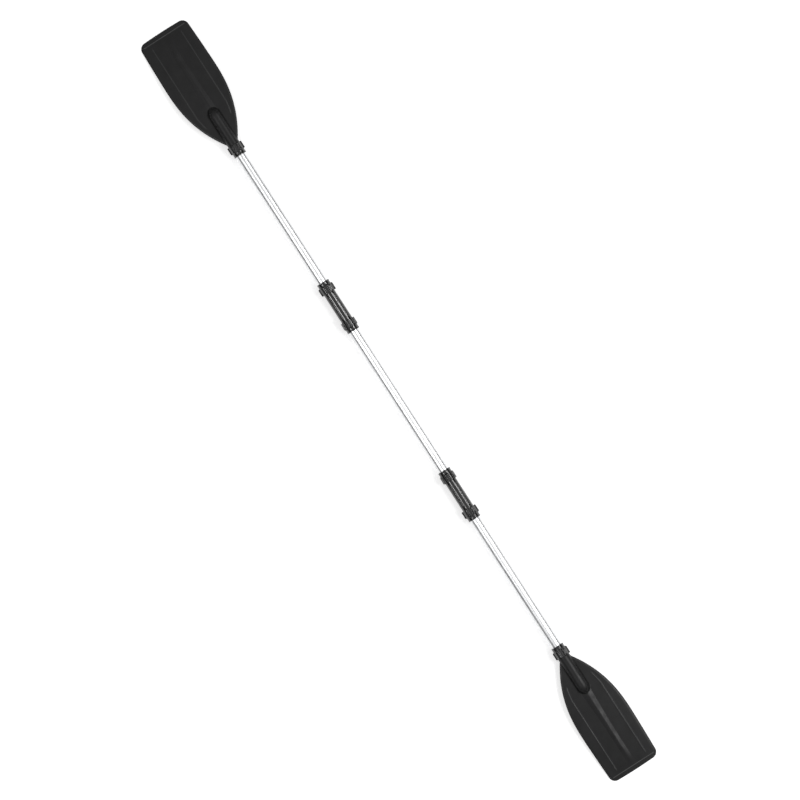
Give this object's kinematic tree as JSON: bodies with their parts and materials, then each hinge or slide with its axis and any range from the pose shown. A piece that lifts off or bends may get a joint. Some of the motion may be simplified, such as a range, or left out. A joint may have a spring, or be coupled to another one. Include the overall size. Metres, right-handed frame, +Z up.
{
  "type": "kayak paddle",
  "caption": "Double-bladed take-apart kayak paddle: aluminium tubes, moulded spined blades, connector sleeves and lobed clamp nuts.",
  "frame": {"origin": "on the plane that the paddle lies on, under the middle of the shaft", "axes": "+X along the shaft to the right blade, +Y across the blades, +Z up out of the blades' ribbed backs"},
  "size_m": [2.3, 0.1494, 0.0424],
  "materials": {
    "tube_alloy": "satin silver anodised",
    "blade_plastic": "satin moulded, charcoal",
    "sleeve_plastic": "glossy moulded, black",
    "nut_plastic": "semi-gloss moulded, black",
    "ring_plastic": "natural acetal",
    "plug_plastic": "moulded, black"
  },
  "bodies": {
    "centre_shaft": {"centre_tube": "tube_alloy", "centre_tube_plug_left": "plug_plastic", "centre_tube_plug_right": "plug_plastic"},
    "sleeve_left": {"connector_sleeve_left": "sleeve_plastic"},
    "outer_shaft_left": {"outer_tube_left": "tube_alloy", "outer_tube_inner_plug_left": "plug_plastic", "outer_tube_end_plug_left": "plug_plastic"},
    "blade_left": {"blade_left": "blade_plastic"},
    "inner_clamp_ring_left": {"inner_clamp_ring_left": "ring_plastic"},
    "inner_clamp_nut_left": {"inner_clamp_nut_left": "nut_plastic"},
    "outer_clamp_ring_left": {"outer_clamp_ring_left": "ring_plastic"},
    "outer_clamp_nut_left": {"outer_clamp_nut_left": "nut_plastic"},
    "blade_clamp_ring_left": {"blade_clamp_ring_left": "ring_plastic"},
    "blade_clamp_nut_left": {"blade_clamp_nut_left": "nut_plastic"},
    "sleeve_right": {"connector_sleeve_right": "sleeve_plastic"},
    "outer_shaft_right": {"outer_tube_right": "tube_alloy", "outer_tube_inner_plug_right": "plug_plastic", "outer_tube_end_plug_right": "plug_plastic"},
    "blade_right": {"blade_right": "blade_plastic"},
    "inner_clamp_ring_right": {"inner_clamp_ring_right": "ring_plastic"},
    "inner_clamp_nut_right": {"inner_clamp_nut_right": "nut_plastic"},
    "outer_clamp_ring_right": {"outer_clamp_ring_right": "ring_plastic"},
    "outer_clamp_nut_right": {"outer_clamp_nut_right": "nut_plastic"},
    "blade_clamp_ring_right": {"blade_clamp_ring_right": "ring_plastic"},
    "blade_clamp_nut_right": {"blade_clamp_nut_right": "nut_plastic"}
  },
  "joints": [
    {"name": "sleeve_slide_left", "type": "slide", "parent": "centre_shaft", "child": "sleeve_left", "axis": [-1, 0, 0], "range_m": [0, 0.095]},
    {"name": "feather_left", "type": "hinge", "parent": "sleeve_left", "child": "outer_shaft_left", "pos_m": [-0.293, 0, 0.0212], "axis": [1, 0, 0], "continuous": true},
    {"name": "blade_slide_left", "type": "slide", "parent": "outer_shaft_left", "child": "blade_left", "axis": [-1, 0, 0], "range_m": [0, 0.125]},
    {"name": "inner_clamp_travel_left", "type": "slide", "parent": "sleeve_left", "child": "inner_clamp_ring_left", "axis": [1, 0, 0], "range_m": [0, 0.0201]},
    {"name": "inner_clamp_turn_left", "type": "hinge", "parent": "inner_clamp_ring_left", "child": "inner_clamp_nut_left", "pos_m": [-0.2293, 0, 0.0212], "axis": [1, 0, 0], "range_deg": [0, 1800]},
    {"name": "outer_clamp_travel_left", "type": "slide", "parent": "sleeve_left", "child": "outer_clamp_ring_left", "axis": [-1, 0, 0], "range_m": [0, 0.0201]},
    {"name": "outer_clamp_turn_left", "type": "hinge", "parent": "outer_clamp_ring_left", "child": "outer_clamp_nut_left", "pos_m": [-0.3567, 0, 0.0212], "axis": [-1, 0, 0], "range_deg": [0, 1800]},
    {"name": "blade_clamp_travel_left", "type": "slide", "parent": "blade_left", "child": "blade_clamp_ring_left", "axis": [1, 0, 0], "range_m": [0, 0.0201]},
    {"name": "blade_clamp_turn_left", "type": "hinge", "parent": "blade_clamp_ring_left", "child": "blade_clamp_nut_left", "pos_m": [-0.7768, 0, 0.0212], "axis": [1, 0, 0], "range_deg": [0, 1800]},
    {"name": "sleeve_slide_right", "type": "slide", "parent": "centre_shaft", "child": "sleeve_right", "axis": [1, 0, 0], "range_m": [0, 0.095]},
    {"name": "feather_right", "type": "hinge", "parent": "sleeve_right", "child": "outer_shaft_right", "pos_m": [0.293, 0, 0.0212], "axis": [1, 0, 0], "continuous": true},
    {"name": "blade_slide_right", "type": "slide", "parent": "outer_shaft_right", "child": "blade_right", "axis": [1, 0, 0], "range_m": [0, 0.125]},
    {"name": "inner_clamp_travel_right", "type": "slide", "parent": "sleeve_right", "child": "inner_clamp_ring_right", "axis": [-1, 0, 0], "range_m": [0, 0.0201]},
    {"name": "inner_clamp_turn_right", "type": "hinge", "parent": "inner_clamp_ring_right", "child": "inner_clamp_nut_right", "pos_m": [0.2293, 0, 0.0212], "axis": [-1, 0, 0], "range_deg": [0, 1800]},
    {"name": "outer_clamp_travel_right", "type": "slide", "parent": "sleeve_right", "child": "outer_clamp_ring_right", "axis": [1, 0, 0], "range_m": [0, 0.0201]},
    {"name": "outer_clamp_turn_right", "type": "hinge", "parent": "outer_clamp_ring_right", "child": "outer_clamp_nut_right", "pos_m": [0.3567, 0, 0.0212], "axis": [1, 0, 0], "range_deg": [0, 1800]},
    {"name": "blade_clamp_travel_right", "type": "slide", "parent": "blade_right", "child": "blade_clamp_ring_right", "axis": [-1, 0, 0], "range_m": [0, 0.0201]},
    {"name": "blade_clamp_turn_right", "type": "hinge", "parent": "blade_clamp_ring_right", "child": "blade_clamp_nut_right", "pos_m": [0.7768, 0, 0.0212], "axis": [-1, 0, 0], "range_deg": [0, 1800]}
  ],
  "couplings": [
    {"joint": "inner_clamp_travel_left", "follows": "inner_clamp_turn_left", "m_per_rad": 0.00063662},
    {"joint": "outer_clamp_travel_left", "follows": "outer_clamp_turn_left", "m_per_rad": 0.00063662},
    {"joint": "blade_clamp_travel_left", "follows": "blade_clamp_turn_left", "m_per_rad": 0.00063662},
    {"joint": "inner_clamp_travel_right", "follows": "inner_clamp_turn_right", "m_per_rad": 0.00063662},
    {"joint": "outer_clamp_travel_right", "follows": "outer_clamp_turn_right", "m_per_rad": 0.00063662},
    {"joint": "blade_clamp_travel_right", "follows": "blade_clamp_turn_right", "m_per_rad": 0.00063662}
  ]
}
